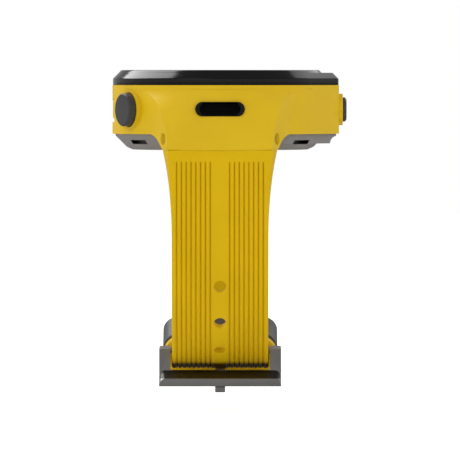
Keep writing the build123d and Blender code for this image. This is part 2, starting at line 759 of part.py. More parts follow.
def make_tang():
    """Bent tang: eye on the pin, through the strap, and out under the bar."""
    under = -bar_drop - bar_height - tang_gap
    low = under - tang_thickness
    eye = rod(tang_eye_radius, -tang_half, tang_half, pivot_out, -pivot_drop)
    top = -pivot_drop - 0.1
    outline = [(0.1, top), (-0.6, -bar_drop - 0.2), (-6.2, under), (-tang_front, under)]
    outline += [(-tang_front, low), (-6.4, low), (0.0, -bar_drop - 1.3), (0.55, -bar_drop), (1.3, top)]
    blade = side_shape(outline, -tang_half, tang_half)
    return eye + blade - rod(pivot_pin_radius + fit, -3, 3, pivot_out, -pivot_drop)


def make_key():
    """Flush side key with two stems' worth of guide and its switch."""
    key = extrude(SlotOverall(2 * key_half_width, key_height), -key_depth)
    key += disc(stem_radius, -key_stem, -1)
    plane = place_key()
    parts["side_key"] = plane * key & disc(body_radius - key_inset, body_bottom, seam_height)
    front = -key_stem - 0.75
    body = block(-switch_half, switch_half, -1.5, 1.6, front - 1.95, front - 0.55)
    parts["side_key_switch"] = plane * (body + disc(switch_plunger, front - 0.65, front))


parts["case_body"] = make_case()
parts["bezel"] = make_bezel()
make_face_parts()
make_inside()
parts["back_cover"] = make_back()
make_socket()
lug_hardware()
add_button("left_button", place_left(), left_cap_radius, left_reach, left_cap_stand, left_cap_chamfer)
add_button("right_button", place_right(), right_cap_radius, right_reach, right_cap_stand, right_cap_chamfer)
make_key()
parts["front_strap"] = make_front_strap()
parts["rear_strap"] = make_rear_strap()
parts["fixed_keeper"] = keeper(keeper_half, keeper_wall, keeper_corner, keeper_start, keeper_width)
parts["sliding_keeper"] = keeper(slider_half, slider_wall, slider_corner, slider_start, slider_width)
parts["buckle_frame"] = make_buckle()
parts["buckle_tang"] = make_tang()
pin_half = buckle_half - pin_inset
parts["buckle_pin"] = rod(pivot_pin_radius, -pin_half, pin_half, pivot_out, -pivot_drop)

os.makedirs("parts", exist_ok=True)
for name, solid in parts.items():
    export_step(solid, "parts/" + name + ".step")
    print(name, len(solid.solids()), round(solid.volume, 1))
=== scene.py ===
import json
import math

import bmesh
import bpy
import numpy as np
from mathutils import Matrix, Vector


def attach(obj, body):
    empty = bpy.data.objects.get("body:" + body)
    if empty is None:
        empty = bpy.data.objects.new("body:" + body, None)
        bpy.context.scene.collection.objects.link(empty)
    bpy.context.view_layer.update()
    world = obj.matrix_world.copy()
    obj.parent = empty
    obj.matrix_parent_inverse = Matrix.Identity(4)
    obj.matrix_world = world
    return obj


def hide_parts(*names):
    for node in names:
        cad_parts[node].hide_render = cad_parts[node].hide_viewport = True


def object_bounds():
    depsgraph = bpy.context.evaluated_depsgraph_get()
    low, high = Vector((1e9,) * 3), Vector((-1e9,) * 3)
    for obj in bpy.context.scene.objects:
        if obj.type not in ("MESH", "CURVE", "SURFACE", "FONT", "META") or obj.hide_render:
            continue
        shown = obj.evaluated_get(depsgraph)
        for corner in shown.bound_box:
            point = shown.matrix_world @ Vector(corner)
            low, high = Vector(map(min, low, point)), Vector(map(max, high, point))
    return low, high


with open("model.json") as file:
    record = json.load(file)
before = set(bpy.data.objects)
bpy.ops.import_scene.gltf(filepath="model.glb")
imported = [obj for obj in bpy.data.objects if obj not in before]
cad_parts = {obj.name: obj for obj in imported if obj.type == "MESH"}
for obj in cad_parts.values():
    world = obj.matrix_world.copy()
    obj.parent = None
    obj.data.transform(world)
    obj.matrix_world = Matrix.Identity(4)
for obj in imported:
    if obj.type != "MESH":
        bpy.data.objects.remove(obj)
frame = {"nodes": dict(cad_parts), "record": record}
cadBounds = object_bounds()
mm = 0.001
tiny = 1e-6                     # keeps divisions away from nought
print("frame loaded")


stageSet = {
    "cameraDistance": 1.40,
    "cameraHeight": 0.0369,
    "aimX": 0.00206,
    "aimZ": 0.0052,
    "viewWidth": 0.0947,
    "sensorWidth": 36,
    "clipEnd": 20,
    "floorDrop": 0.004,
    "floorSize": 4.0,
    "floorGlow": 0.80,          # share of the floor's white that no shadow reaches
    "floorMatt": 0.5,           # greys of the floor: for the eye, for the fill, for reflections
    "floorBounce": 0.85,
    "floorGloss": 0.2,
    "skySeen": 1.0,
    "skyFill": 0.98,
    "glossLow": 0.42,           # what reflections find low in the room and high up
    "glossHigh": 0.16,
    "glossFrom": 0.1,           # heights, as the upward share of a direction, where it changes
    "glossTo": 0.6,
}
softboxes = {
    # place, width and height, watts
    "softboxBack": ((-0.50, 0.50, 0.76), (0.55, 0.75), 5.5),
    "softboxRight": ((0.45, 0.75, 0.55), (0.6, 0.6), 1.1),
    "softboxFront": ((-0.5, -0.9, 0.7), (0.7, 0.5), 0.8),
}


def makeCamera():
    low, high = cadBounds
    target = Vector((stageSet["aimX"], low[1], stageSet["aimZ"]))
    place = Vector((stageSet["aimX"], low[1] - stageSet["cameraDistance"], stageSet["cameraHeight"]))
    data = bpy.data.cameras.new("camera")
    data.sensor_width = stageSet["sensorWidth"]
    data.lens = stageSet["sensorWidth"] * stageSet["cameraDistance"] / stageSet["viewWidth"]
    data.clip_end = stageSet["clipEnd"]
    camera = bpy.data.objects.new("camera", data)
    camera.location = place
    camera.rotation_euler = (target - place).to_track_quat("-Z", "Y").to_euler()
    bpy.context.collection.objects.link(camera)
    bpy.context.scene.camera = camera


def areaLight(name, place, aim, size, energy):
    data = bpy.data.lights.new(name, "AREA")
    data.shape = "RECTANGLE"
    data.size, data.size_y = size
    data.energy = energy
    lamp = bpy.data.objects.new(name, data)
    lamp.location = place
    lamp.rotation_euler = (Vector(aim) - Vector(place)).to_track_quat("-Z", "Y").to_euler()
    bpy.context.collection.objects.link(lamp)


# White room: even white for the eye and the fill. Reflections find it brighter near the
# horizon all round, and darker upwards.
def makeSky():
    world = bpy.data.worlds.new("sky")
    bpy.context.scene.world = world
    world.use_nodes = True
    nodes, links = world.node_tree.nodes, world.node_tree.links
    nodes.clear()
    path = nodes.new("ShaderNodeLightPath")
    strengths = {"seen": stageSet["skySeen"], "fill": stageSet["skyFill"], "gloss": 1.0}
    rooms = {}
    for label, strength in strengths.items():
        rooms[label] = nodes.new("ShaderNodeBackground")
        rooms[label].inputs["Color"].default_value = (1, 1, 1, 1)
        rooms[label].inputs["Strength"].default_value = strength
    coords = nodes.new("ShaderNodeTexCoord")
    split = nodes.new("ShaderNodeSeparateXYZ")
    fall = nodes.new("ShaderNodeMapRange")
    fall.interpolation_type = "SMOOTHSTEP"
    fall.inputs["From Min"].default_value = stageSet["glossFrom"]
    fall.inputs["From Max"].default_value = stageSet["glossTo"]
    fall.inputs["To Min"].default_value = stageSet["glossLow"]
    fall.inputs["To Max"].default_value = stageSet["glossHigh"]
    links.new(coords.outputs["Generated"], split.inputs[0])
    links.new(split.outputs["Z"], fall.inputs["Value"])
    links.new(fall.outputs[0], rooms["gloss"].inputs["Strength"])
    pickGloss = nodes.new("ShaderNodeMixShader")
    pickSeen = nodes.new("ShaderNodeMixShader")
    out = nodes.new("ShaderNodeOutputWorld")
    links.new(path.outputs["Is Glossy Ray"], pickGloss.inputs["Fac"])
    links.new(rooms["fill"].outputs[0], pickGloss.inputs[1])
    links.new(rooms["gloss"].outputs[0], pickGloss.inputs[2])
    links.new(path.outputs["Is Camera Ray"], pickSeen.inputs["Fac"])
    links.new(pickGloss.outputs[0], pickSeen.inputs[1])
    links.new(rooms["seen"].outputs[0], pickSeen.inputs[2])
    links.new(pickSeen.outputs[0], out.inputs["Surface"])


def makeFloor():
    low, high = cadBounds
    z = low[2] - stageSet["floorDrop"]
    half = stageSet["floorSize"] / 2
    corners = [(-half, -half, z), (half, -half, z), (half, half, z), (-half, half, z)]
    data = bpy.data.meshes.new("floor")
    data.from_pydata(corners, [], [(0, 1, 2, 3)])
    floor = bpy.data.objects.new("floor", data)
    bpy.context.collection.objects.link(floor)
    data.materials.append(floorMaterial())


# Pale floor that melts into the white room. The eye sees a glow with soft shadows, the fill
# finds a pale floor, and reflections find a dark one.
def floorMaterial():
    material = bpy.data.materials.new("paleFloor")
    material.use_nodes = True
    nodes, links = material.node_tree.nodes, material.node_tree.links
    nodes.clear()
    glow = nodes.new("ShaderNodeEmission")
    glow.inputs["Strength"].default_value = stageSet["floorGlow"]
    matt = nodes.new("ShaderNodeBsdfDiffuse")
    matt.inputs["Color"].default_value = (stageSet["floorMatt"],) * 3 + (1,)
    white = nodes.new("ShaderNodeBsdfDiffuse")
    white.inputs["Color"].default_value = (stageSet["floorBounce"],) * 3 + (1,)
    dark = nodes.new("ShaderNodeBsdfDiffuse")
    dark.inputs["Color"].default_value = (stageSet["floorGloss"],) * 3 + (1,)
    fill = nodes.new("ShaderNodeMixShader")
    both = nodes.new("ShaderNodeAddShader")
    links.new(glow.outputs[0], both.inputs[0])
    links.new(matt.outputs[0], both.inputs[1])
    pick = nodes.new("ShaderNodeMixShader")
    path = nodes.new("ShaderNodeLightPath")
    links.new(path.outputs["Is Glossy Ray"], fill.inputs["Fac"])
    links.new(white.outputs[0], fill.inputs[1])
    links.new(dark.outputs[0], fill.inputs[2])
    links.new(path.outputs["Is Camera Ray"], pick.inputs["Fac"])
    links.new(fill.outputs[0], pick.inputs[1])
    links.new(both.outputs[0], pick.inputs[2])
    out = nodes.new("ShaderNodeOutputMaterial")
    links.new(pick.outputs[0], out.inputs["Surface"])
    return material


def newMaterial(name):
    material = bpy.data.materials.new(name)
    material.use_nodes = True
    shader = material.node_tree.nodes["Principled BSDF"]
    return material, material.node_tree.nodes, material.node_tree.links, shader


# Moulded grain: fine noise and slow blotches on the given coordinates.
def grainGroup():
    group = bpy.data.node_groups.new("mouldedGrain", "ShaderNodeTree")
    face = group.interface
    face.new_socket("Vector", in_out="INPUT", socket_type="NodeSocketVector")
    for label in ("Grain Scale", "Blotch Scale"):
        face.new_socket(label, in_out="INPUT", socket_type="NodeSocketFloat")
    face.new_socket("Grain", in_out="OUTPUT", socket_type="NodeSocketFloat")
    face.new_socket("Blotch", in_out="OUTPUT", socket_type="NodeSocketFloat")
    nodes, links = group.nodes, group.links
    inside = nodes.new("NodeGroupInput")
    outside = nodes.new("NodeGroupOutput")
    for label, detail in (("Grain", 3.0), ("Blotch", 2.0)):
        noise = nodes.new("ShaderNodeTexNoise")
        noise.inputs["Detail"].default_value = detail
        links.new(inside.outputs["Vector"], noise.inputs["Vector"])
        links.new(inside.outputs[label + " Scale"], noise.inputs["Scale"])
        links.new(noise.outputs["Fac"], outside.inputs[label])
    return group


# Soft mask for painted shade, in object space: full past the second Y and the second Z, none before the
# first.
def paintedShadeGroup():
    group = bpy.data.node_groups.new("paintedShadeMask", "ShaderNodeTree")
    face = group.interface
    face.new_socket("Vector", in_out="INPUT", socket_type="NodeSocketVector")
    for axis in "YZ":
        for end in ("Start", "Full"):
            face.new_socket(axis + " " + end, in_out="INPUT", socket_type="NodeSocketFloat")
    face.new_socket("Mask", in_out="OUTPUT", socket_type="NodeSocketFloat")
    nodes, links = group.nodes, group.links
    inside = nodes.new("NodeGroupInput")
    outside = nodes.new("NodeGroupOutput")
    split = nodes.new("ShaderNodeSeparateXYZ")
    both = nodes.new("ShaderNodeMath")
    both.operation = "MULTIPLY"
    links.new(inside.outputs["Vector"], split.inputs[0])
    for number, axis in enumerate("YZ"):
        fade = nodes.new("ShaderNodeMapRange")
        fade.interpolation_type = "SMOOTHSTEP"
        links.new(split.outputs[axis], fade.inputs["Value"])
        links.new(inside.outputs[axis + " Start"], fade.inputs["From Min"])
        links.new(inside.outputs[axis + " Full"], fade.inputs["From Max"])
        links.new(fade.outputs[0], both.inputs[number])
    links.new(both.outputs[0], outside.inputs["Mask"])
    return group


# The tint, darkened by painted shade where the mask says so; the places are in millimetres.
def paintedShadeColor(nodes, links, coords, tint, paintedShade):
    mask = nodes.new("ShaderNodeGroup")
    mask.node_tree = paintedShadeTree
    links.new(coords.outputs["Object"], mask.inputs["Vector"])
    for axis in "YZ":
        mask.inputs[axis + " Start"].default_value = paintedShade[axis][0] * mm
        mask.inputs[axis + " Full"].default_value = paintedShade[axis][1] * mm
    mix = nodes.new("ShaderNodeMix")
    mix.data_type = "RGBA"      # its sockets: 0 factor, 6 and 7 the two colours, 2 the result
    links.new(mask.outputs["Mask"], mix.inputs[0])
    links.new(tint, mix.inputs[6])
    mix.inputs[7].default_value = (*paintedShade["color"], 1)
    return mix.outputs[2]


# Moulded or coated surface: blotchy colour, blotchy gloss and a fine grain bump, with painted shade on the
# base colour where the look gives one.
def finishMaterial(name, color, darker, rough, changes):
    look = {**usualLook, **changes}
    material, nodes, links, shader = newMaterial(name)
    coords = nodes.new("ShaderNodeTexCoord")
    grain = nodes.new("ShaderNodeGroup")
    grain.node_tree = grainTree
    grain.inputs["Grain Scale"].default_value = look["grainScale"]
    grain.inputs["Blotch Scale"].default_value = look["blotchScale"]
    links.new(coords.outputs["Object"], grain.inputs["Vector"])
    tint = nodes.new("ShaderNodeValToRGB")
    tint.color_ramp.elements[0].position = look["rampStart"]
    tint.color_ramp.elements[1].position = look["rampEnd"]
    tint.color_ramp.elements[0].color = (*darker, 1)
    tint.color_ramp.elements[1].color = (*color, 1)
    links.new(grain.outputs["Blotch"], tint.inputs["Fac"])
    base = tint.outputs["Color"]
    # painted shade: the base colour darkened in the masked place
    if look["paintedShade"]:
        base = paintedShadeColor(nodes, links, coords, base, look["paintedShade"])
    links.new(base, shader.inputs["Base Color"])
    spread = nodes.new("ShaderNodeMapRange")
    spread.inputs["To Min"].default_value = rough - look["roughSpread"]
    spread.inputs["To Max"].default_value = rough + look["roughSpread"]
    links.new(grain.outputs["Grain"], spread.inputs["Value"])
    links.new(spread.outputs["Result"], shader.inputs["Roughness"])
    bump = nodes.new("ShaderNodeBump")
    bump.inputs["Strength"].default_value = look["bump"]
    bump.inputs["Distance"].default_value = look["bumpDepth"] * mm
    links.new(grain.outputs["Grain"], bump.inputs["Height"])
    links.new(bump.outputs["Normal"], shader.inputs["Normal"])
    for socket, value in look["sockets"].items():
        shader.inputs[socket].default_value = value
    return material


grainTree = grainGroup()
paintedShadeTree = paintedShadeGroup()

# Painted light: the bar's sloped face is painted dark as a painted reflection of the strap's shaded
# underside, and the strap's lowest part beside the bar is painted dark as a painted shadow.
barSlopePaintedReflection = {"Y": (-7.5, -7.8), "Z": (-26.2, -25.95), "color": (0.10, 0.095, 0.09)}
underStrapPaintedShadow = {"Y": (-1.0, -2.6), "Z": (-22.4, -23.4), "color": (0.06, 0.034, 0.001)}

# name: colour, darker colour of the blotches, roughness, and what differs from the usual
finishSet = {
    "caseYellow": ((0.66, 0.432, 0.003), (0.625, 0.402, 0.0022), 0.45,
                   {"bump": 0.12, "sockets": {"Specular IOR Level": 0.22}}),
    # painted shadow: the strap's lowest part beside the bar darkened
    "strapYellow": ((0.635, 0.408, 0.0045), (0.60, 0.38, 0.0035), 0.5,
                    {"bump": 0.1, "paintedShade": underStrapPaintedShadow, "sockets": {"Specular IOR Level": 0.06}}),
    "bezelBlack": ((0.003, 0.003, 0.003), (0.0025, 0.0025, 0.0025), 0.14,
                   {"bump": 0.0, "roughSpread": 0.01}),
    "lensBlack": ((0.003, 0.003, 0.0035), (0.0025, 0.0025, 0.003), 0.05,
                  {"bump": 0.0, "roughSpread": 0.01}),
    "backGrey": ((0.215, 0.203, 0.195), (0.195, 0.184, 0.176), 0.5,
                 {"bump": 0.2, "sockets": {"Specular IOR Level": 0.3}}),
    "buttonGrey": ((0.062, 0.062, 0.063), (0.05, 0.05, 0.051), 0.38,
                   {"grainScale": 5000, "sockets": {"Metallic": 0.3}}),
    "keeperGrey": ((0.07, 0.071, 0.072), (0.058, 0.059, 0.06), 0.45, {}),
    # painted reflection: the bar's sloped face darkened where it would mirror the strap's shaded underside
    "buckleGrey": ((0.41, 0.40, 0.39), (0.37, 0.36, 0.35), 0.36,
                   {"bump": 0.08, "grainScale": 6000, "paintedShade": barSlopePaintedReflection, "sockets": {"Metallic": 1.0}}),
    "socketBlack": ((0.006, 0.006, 0.006), (0.004, 0.004, 0.004), 0.3,
                    {"bump": 0.1, "sockets": {"Specular IOR Level": 0.3}}),
    "tongueBlack": ((0.003, 0.003, 0.003), (0.002, 0.002, 0.002), 0.5,
                    {"bump": 0.0, "sockets": {"Specular IOR Level": 0.1}}),
    "socketSteel": ((0.02, 0.02, 0.02), (0.014, 0.014, 0.014), 0.35, {"sockets": {"Metallic": 0.6}}),
    "screwSteel": ((0.42, 0.42, 0.42), (0.36, 0.36, 0.36), 0.3, {"sockets": {"Metallic": 1.0}}),
    "boardGreen": ((0.02, 0.12, 0.05), (0.015, 0.09, 0.04), 0.4, {"blotchScale": 400}),
    "chipBlack": ((0.03, 0.03, 0.03), (0.02, 0.02, 0.02), 0.5, {}),
    "brightMetal": ((0.5, 0.48, 0.42), (0.42, 0.40, 0.36), 0.35, {"sockets": {"Metallic": 1.0}}),
    "sensorBlack": ((0.01, 0.01, 0.011), (0.008, 0.008, 0.009), 0.12,
                    {"bump": 0.02, "roughSpread": 0.02}),
}
usualLook = {
    "bump": 0.15,
    "bumpDepth": 0.02,          # millimetres
    "roughSpread": 0.05,
    "grainScale": 3000,
    "blotchScale": 90,
    "rampStart": 0.3,
    "rampEnd": 0.7,
    "paintedShade": None,
    "sockets": {},
}
finishes = {name: finishMaterial(name, *row) for name, row in finishSet.items()}
nodeFinish = {
    "case_body": "caseYellow", "side_key": "caseYellow", "fixed_keeper": "strapYellow",
    "front_strap": "strapYellow", "rear_strap": "strapYellow",
    "bezel": "bezelBlack", "display_lens": "lensBlack", "display_module": "chipBlack",
    "back_cover": "backGrey", "left_button_cap": "buttonGrey", "right_button_cap": "buttonGrey",
    "sliding_keeper": "keeperGrey", "buckle_frame": "buckleGrey", "buckle_tang": "buckleGrey",
    "socket_rim": "socketBlack", "socket_tongue": "tongueBlack", "socket_shell": "socketSteel",
    "sensor_window": "sensorBlack", "main_board": "boardGreen", "pulse_sensor_board": "boardGreen",
    "gps_antenna": "brightMetal", "battery": "brightMetal", "shield_can": "brightMetal",
    "vibration_motor": "brightMetal",
}


def dressFrame():
    for name, node in frame["nodes"].items():
        finish = nodeFinish.get(name)
        if finish is None:
            rubber = "seal" in name or "gasket" in name
            steel = any(word in name for word in ("screw", "pin", "spring", "clip"))
            finish = "socketBlack" if rubber else "screwSteel" if steel else "chipBlack"
        if not node.material_slots:
            node.data.materials.append(finishes[finish])
        for slot in node.material_slots:
            slot.material = finishes[finish]


# One closed piece from points in millimetres; faces are turned outwards and shaded smooth
# up to the sharp angle.
def pieceFrom(name, points, faces, finish, sharp=40):
    data = bpy.data.meshes.new(name)
    data.from_pydata((np.asarray(points) * mm).tolist(), [], faces)
    work = bmesh.new()
    work.from_mesh(data)
    bmesh.ops.recalc_face_normals(work, faces=work.faces)
    work.to_mesh(data)
    work.free()
    piece = bpy.data.objects.new(name, data)
    bpy.context.collection.objects.link(piece)
    data.materials.append(finishes[finish])
    smooth(data, sharp)
    return piece


def smooth(data, sharp):
    data.shade_smooth()
    data.set_sharp_from_angle(angle=math.radians(sharp))


# Four-sided faces of a grid whose points run along its columns first.
def gridFaces(rows, cols, wrapRows=False, wrapCols=True, start=0):
    r = np.arange(rows if wrapRows else rows - 1)[:, None]
    c = np.arange(cols if wrapCols else cols - 1)[None, :]
    nextRow, nextCol = (r + 1) % rows, (c + 1) % cols
    corners = (r * cols + c, r * cols + nextCol, nextRow * cols + nextCol, nextRow * cols + c)
    return (np.stack(np.broadcast_arrays(*corners), -1).reshape(-1, 4) + start).tolist()


# Faces of a closed bar: the grid round it and one flat face at each end.
def tubeFaces(rows, cols, start=0):
    first = list(range(start, start + cols))
    last = list(range(start + (rows - 1) * cols, start + rows * cols))
    return gridFaces(rows, cols, start=start) + [first, last]


# Points and faces of several shells as one list of each.
def joinShells(shells):
    points, faces, count = [], [], 0
    for shellPoints, shellFaces in shells:
        points.append(shellPoints)
        faces += [[corner + count for corner in face] for face in shellFaces]
        count += len(shellPoints)
    return np.concatenate(points), faces


# Takes the cutter out of the piece and removes the cutter.
def cutWith(piece, cutter, sharp=40):
    change = piece.modifiers.new("cut", "BOOLEAN")
    change.operation = "DIFFERENCE"
    change.solver = "EXACT"
    change.object = cutter
    bpy.context.view_layer.update()
    shape = piece.evaluated_get(bpy.context.evaluated_depsgraph_get())
    data = bpy.data.meshes.new_from_object(shape)
    piece.modifiers.clear()
    old = piece.data
    piece.data = data
    bpy.data.meshes.remove(old)
    bpy.data.objects.remove(cutter)
    smooth(data, sharp)


strapSet = {
    "topHeight": 21.58,         # seam under the lug
    "half": 10.0,
    "edgeHalf": 9.93,           # where the outer face ends and the edge rounds off
    "shoulder": 1.8,            # how much wider the strap is at the lug
    "edgeShoulder": 0.92,
    "shoulderLength": 18.6,
    "thickness": 2.2,
    "rootThickness": 2.9,
    "thinAt": 5.0,
    "shoulderPower": 2.3,       # how fast the shoulders and their edges narrow
    "edgePower": 1.6,
    "edgeRound": 0.28,
    "edgeTurn": 75,             # degrees that the outer edge turns through
    "innerRound": 0.45,
    "channelHalf": 2.3,
    "channelDepth": 1.0,
    "channelBlur": 0.35,        # half width of the channel's sides
    "channelLead": 0.2,         # from the bend's start to the channel's
    "channelFade": 2.0,         # length of the channel's two ends
    "channelTurn": 48.0,        # degrees of the bend that the channel follows
    "firstGroove": 2.0,
    "groovePitch": 0.99,
    "grooveCount": 8,           # on each side of the plain middle
    "grooveDepth": 0.42,
    "grooveStart": 2.35,        # below the seam
    "grooveRise": 0.55,         # lengths over which the grooves begin and end
    "grooveFade": 4.0,
    "sharpRibs": 3.6,           # powers of the groove field: at the seam, and its fall below
    "ribsFall": 1.7,
    "grooveEnd": 12.0,          # before the strap's end
    "tipRound": 6.5,
    "barrelRadius": 1.15,
    "barrelDrop": 2.33,         # of the lug pin, above the seam
    "barrelOut": 22.2,
    "neckHalf": 0.68,
    "neckSink": 0.1,
    "tongueHalf": 9.15,
    "pinHole": 0.67,
}

# Places across the strap: round one groove, as shares of the pitch, and over the inner face
grooveSteps = np.array([-0.5, -0.38, -0.27, -0.17, -0.09, -0.035, 0.0, 0.035, 0.09, 0.17, 0.27, 0.38])
middlePlaces = np.array([-0.9, 0.0, 0.9])
backPlaces = np.array([0.9, 0.6, 0.36, 0.30, 0.25, 0.2, 0.1])

# Seen from the side: a straight, a quarter turn, a flat and a tail that goes on turning.
# The tail is in degrees.
frontPath = {"radius": 24.3, "centre": 0.0, "flat": 2.35, "tail": 60.0, "side": 1}
rearPath = {"radius": 21.95, "centre": -2.35, "flat": 0.95, "tail": 0.0, "side": -1}


# Point on the outer face and angle of its normal at each distance s below the seam: a
# straight, a quarter turn, a flat and a tail that goes on turning.
def alongStrap(path, s):
    turnStart = strapSet["topHeight"]
    quarter = path["radius"] * math.pi / 2
    flatStart = turnStart + quarter
    tailStart = flatStart + path["flat"]
    bend = np.clip((s - turnStart) / path["radius"], 0, math.pi / 2)
    more = np.clip((s - tailStart) / path["radius"], 0, None)
    slide = np.clip(s - flatStart, 0, path["flat"])
    angle = bend + more
    y = path["centre"] - path["radius"] * np.cos(angle) + slide
    z = -path["radius"] * np.sin(angle) + np.clip(turnStart - s, 0, None)
    return y, z, angle


def strapLength(path):
    turns = math.pi / 2 + math.radians(path["tail"])
    return strapSet["topHeight"] + path["radius"] * turns + path["flat"]


# 1 in the middle of a groove, falling to 0 halfway to the next one.
def grooveField(x):
    pitch = strapSet["groovePitch"]
    number = np.round((np.abs(x) - strapSet["firstGroove"]) / pitch)
    number = np.clip(number, 0, strapSet["grooveCount"] - 1)
    away = np.abs(np.abs(x) - strapSet["firstGroove"] - number * pitch)
    return np.clip(1 - away / (pitch / 2), 0, 1)


# Places across the outer face, close together at each groove.
def faceStations():
    pitch = strapSet["groovePitch"]
    steps = grooveSteps * pitch
    middles = strapSet["firstGroove"] + pitch * np.arange(strapSet["grooveCount"])
    right = (middles[:, None] + steps[None, :]).ravel()
    right = np.append(right, middles[-1] + pitch / 2)
    return np.concatenate([-right[::-1], middlePlaces, right])


# Distances below the seam: close together where the grooves start and at the tip.
def strapStations(path):
    start = strapSet["grooveStart"]
    length = strapLength(path)
    root = np.array([0.0, 0.4, 1.0, 1.7])
    rise = start + np.linspace(-0.05, 0.7, 11)
    straight = np.linspace(start + 1.2, strapSet["topHeight"], 20)
    turnSteps = 48 + int(path["tail"] * 0.5)
    turning = np.linspace(strapSet["topHeight"], length - strapSet["tipRound"], turnSteps)[1:]
    tip = length - strapSet["tipRound"] * (1 - np.sin(np.linspace(0, math.pi / 2, 14)))[1:]
    return np.concatenate([root, rise, straight, turning, tip])


# Ribbed strap: its cross-section carried along the path.
#
# Across, the outer face dips by grooveDepth times the groove field to a power that falls from
# 3.6 to 1.9, so that flat ribs turn into round ones. The edges round off and slope outwards
# near the lug, and the inner face has a shallow channel.
def strapBody(path, tipRound):
    k = strapSet
    s = strapStations(path)[:, None]
    length = strapLength(path)
    y, z, angle = alongStrap(path, s)
    fade = np.clip(1 - s / k["shoulderLength"], 0, 1)
    half = k["half"] + k["shoulder"] * fade ** k["shoulderPower"]
    edge = k["edgeHalf"] + k["edgeShoulder"] * fade ** k["edgePower"] - k["edgeRound"]
    extra = k["rootThickness"] - k["thickness"]
    thick = k["thickness"] + extra * np.clip(1 - s / k["thinAt"], 0, 1)
    narrow = np.ones_like(s)
    if tipRound:
        past = np.clip(s - (length - tipRound), 0, tipRound)
        narrow = (k["half"] - tipRound + np.sqrt(tipRound ** 2 - past ** 2)) / k["half"]

    ribs = faceStations()[None, :]
    plain = np.linspace(0.25, 1.0, 4)[None, :]
    outerEdge = ribs[0, -1] + (edge - ribs[0, -1]) * plain
    x = np.concatenate([-outerEdge[:, ::-1], np.repeat(ribs, len(s), 0), outerEdge], 1)
    started = np.clip((s - k["grooveStart"]) / k["grooveRise"], 0, 1)
    ended = np.clip((length - k["grooveEnd"] - s) / k["grooveFade"], 0, 1)
    power = k["sharpRibs"] - k["ribsFall"] * np.clip(s / (k["topHeight"] * 2), 0, 1)
    begun = np.sqrt(started * (2 - started))
    dip = k["grooveDepth"] * begun * ended * grooveField(x) ** power

    corner = np.linspace(0.2, 1, 5)[None, :] * math.radians(k["edgeTurn"])
    edgeX = edge + k["edgeRound"] * np.sin(corner)
    edgeDip = k["edgeRound"] * (1 - np.cos(corner)) + 0 * s
    lower = np.linspace(0, 1, 5)[None, :] * math.pi / 2
    innerX = half - k["innerRound"] * (1 - np.cos(lower))
    innerDip = thick - k["innerRound"] * (1 - np.sin(lower))
    sideX = np.concatenate([edgeX, innerX], 1)
    sideDip = np.concatenate([edgeDip, innerDip], 1)

    backX = np.concatenate([backPlaces, [0.0], -backPlaces[::-1]])[None, :] * half
    inChannel = (k["channelHalf"] + k["channelBlur"] - np.abs(backX)) / (2 * k["channelBlur"])
    inChannel = np.clip(inChannel, 0, 1)
    channelEnd = k["topHeight"] + path["radius"] * math.radians(k["channelTurn"])
    reach = np.clip((s - k["topHeight"] - k["channelLead"]) / k["channelFade"], 0, 1)
    reach = reach * np.clip((channelEnd - s) / k["channelFade"], 0, 1)
    if path["tail"] == 0:
        reach = 0 * reach
    backDip = thick - k["channelDepth"] * reach * inChannel

    allX = np.concatenate([x, sideX, backX, -sideX[:, ::-1]], 1) * narrow
    allDip = np.concatenate([dip, sideDip, backDip, sideDip[:, ::-1]], 1)
    allY = path["side"] * (y + allDip * np.cos(angle))
    points = np.stack([allX, allY, z + allDip * np.sin(angle)], -1)
    rows, cols = allX.shape
    return points.reshape(-1, 3), tubeFaces(rows, cols)


# Bar along X with a round hole: outer is its radius at each angle from straight down.
def ringBar(x0, x1, y, z, outer, inner):
    turn = np.linspace(-math.pi, math.pi, len(outer), endpoint=False)
    loops = []
    for x, radius in ((x0, outer), (x1, outer), (x1, inner), (x0, inner)):
        loop = [np.full_like(turn, x), y + radius * np.sin(turn), z - radius * np.cos(turn)]
        loops.append(np.stack(loop, -1))
    points = np.concatenate(loops)
    return points, gridFaces(4, len(turn), wrapRows=True)


# Neck and barrel that hold the strap in its lug: a round bar that runs down into the neck.
def lugTongue(side):
    k = strapSet
    turn = np.linspace(-math.pi, math.pi, 72, endpoint=False)
    down = np.maximum(np.cos(turn), tiny)
    aside = np.maximum(np.abs(np.sin(turn)), tiny)
    neck = np.minimum(k["neckHalf"] / aside, (k["barrelDrop"] + k["neckSink"]) / down)
    outer = np.where(np.cos(turn) > 0, np.maximum(k["barrelRadius"], neck), k["barrelRadius"])
    height = k["topHeight"] + k["barrelDrop"]
    return ringBar(-k["tongueHalf"], k["tongueHalf"], side * -k["barrelOut"], height, outer, k["pinHole"])


holeSet = {
    "radius": 1.25,
    "lip": 0.12,                # rounding of the rim
    "first": 15.6,              # degrees below the six o'clock side
    "pitch": 20.1,
    "count": 4,
    "tail": (110.0, 129.0),
    "pinned": 91.0,
    "stretch": 1.4,
    "above": 0.8,               # how far a plug stands out of the strap
    "below": (1.5, 4.0),        # depths of its straight part
}


# Round or drawn-out plug square to the strap, wider at the outer face by a quarter-round lip.
def holeCutter(angle, stretch):
    k = holeSet
    turn = np.linspace(0, 2 * math.pi, 48, endpoint=False)[None, :]
    bow = np.linspace(0, math.pi / 2, 5)
    depths = np.concatenate([[-k["above"], -0.001], k["lip"] * (1 - np.cos(bow))[1:], k["below"]])
    grow = np.concatenate([[k["lip"], k["lip"]], k["lip"] * (1 - np.sin(bow))[1:], [0, 0]])
    radius = (k["radius"] + grow)[:, None]
    x = radius * np.cos(turn)
    along = radius * np.sin(turn) + stretch / 2 * np.sign(np.sin(turn))
    a = math.radians(angle)
    centre = frontPath["flat"] if angle > k["pinned"] else 0.0
    out = frontPath["radius"] - depths[:, None] + np.zeros_like(turn)
    y = centre - out * math.cos(a) + along * math.sin(a)
    z = -out * math.sin(a) - along * math.cos(a)
    points = np.stack([x + np.zeros_like(y), y, z], -1)
    return points.reshape(-1, 3), tubeFaces(len(depths), turn.size)


